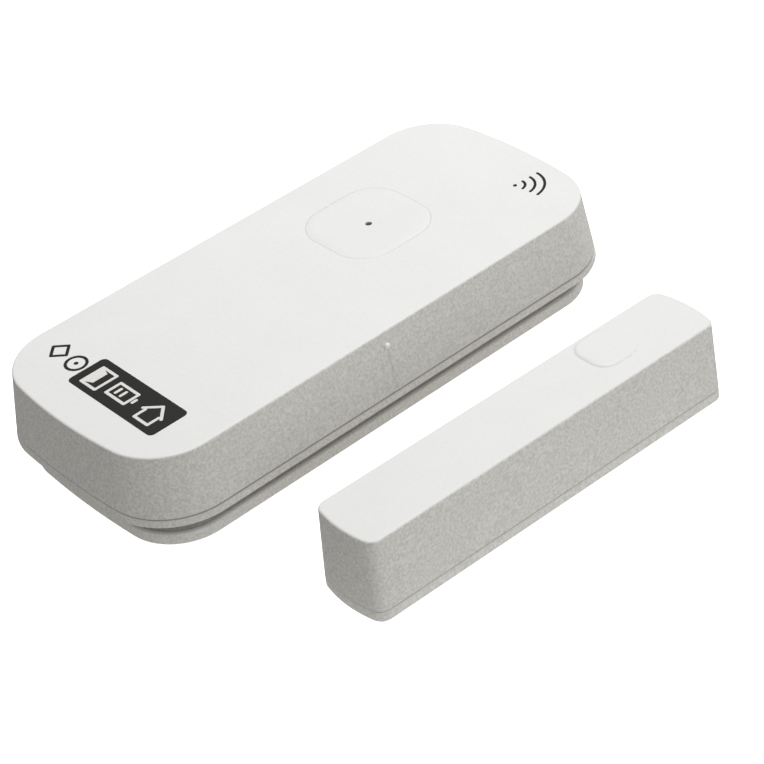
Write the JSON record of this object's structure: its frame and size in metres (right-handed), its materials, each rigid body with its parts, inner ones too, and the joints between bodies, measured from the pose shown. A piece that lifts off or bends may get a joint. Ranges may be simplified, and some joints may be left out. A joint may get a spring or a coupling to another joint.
{
  "type": "door contact sensor",
  "caption": "Wireless door contact sensor: tapered white case with a soft square top button on a wall plate, and a separate slim magnet unit beside it.",
  "frame": {"origin": "centre of the sensor's adhesive face", "axes": "+X along the sensor's long side, +Y away from the magnet unit, +Z away from the door frame"},
  "size_m": [0.078, 0.0628, 0.0139],
  "materials": {
    "shell_white": "fine satin moulded texture",
    "button_white": "fine satin",
    "plate_white": "fine satin moulded texture",
    "adhesive_foam": "matt foam tape",
    "clear_acrylic": "clear",
    "board_green": "solder mask",
    "module_blue": "solder mask",
    "shield_steel": "tinned",
    "black_plastic": "moulded",
    "screw_steel": "zinc plated",
    "can_aluminium": "satin",
    "reed_glass": "green tinted glass",
    "lead_wire": "tinned wire",
    "cell_wrap": "printed sleeve",
    "contact_nickel": "nickel plated",
    "magnet_nickel": "nickel plated",
    "foam_grey": "soft foam",
    "led_white": "moulded lens"
  },
  "bodies": {
    "wall_side": {"wall_plate": "plate_white", "wall_plate_pad": "adhesive_foam"},
    "sensor": {"top_shell": "shell_white", "rear_shell": "shell_white", "case_screws": "screw_steel", "tact_switch": "black_plastic", "main_board": "board_green", "board_screws": "screw_steel", "wifi_board": "module_blue", "wifi_shield": "shield_steel", "control_chip": "black_plastic", "buffer_capacitor": "can_aluminium", "status_led": "led_white", "reed_capsule": "reed_glass", "reed_leads": "lead_wire", "battery_cell_1": "cell_wrap", "battery_cell_2": "cell_wrap", "battery_bridge": "contact_nickel", "positive_contact": "contact_nickel", "negative_contact": "contact_nickel", "battery_springs": "contact_nickel"},
    "button": {"button_cap": "button_white", "light_pipe": "clear_acrylic", "tact_plunger": "black_plastic"},
    "reed_blade": {"reed_moving_blade": "lead_wire"},
    "magnet_side": {"magnet_base": "plate_white", "magnet_pad": "adhesive_foam"},
    "magnet_top": {"magnet_cover": "shell_white", "bar_magnet": "magnet_nickel", "magnet_foam": "foam_grey"}
  },
  "joints": [
    {"name": "sensor_lift_off", "type": "slide", "parent": "wall_side", "child": "sensor", "axis": [0, 0, 1], "range_m": [0, 0.02]},
    {"name": "button_press", "type": "slide", "parent": "sensor", "child": "button", "axis": [0, 0, -1], "range_m": [0, 0.0003], "stiffness_N_per_m": 4000},
    {"name": "reed_close", "type": "hinge", "parent": "sensor", "child": "reed_blade", "pos_m": [-0.00705, -0.0128, 0.00892], "axis": [0, 1, 0], "range_deg": [0, 1.1], "stiffness_Nm_per_rad": 0.005},
    {"name": "door_travel", "type": "slide", "parent": "wall_side", "child": "magnet_side", "axis": [0, -1, 0], "range_m": [-0.0095, 0.05]},
    {"name": "magnet_cover_lift_off", "type": "slide", "parent": "magnet_side", "child": "magnet_top", "axis": [0, 0, 1], "range_m": [0, 0.02]}
  ]
}
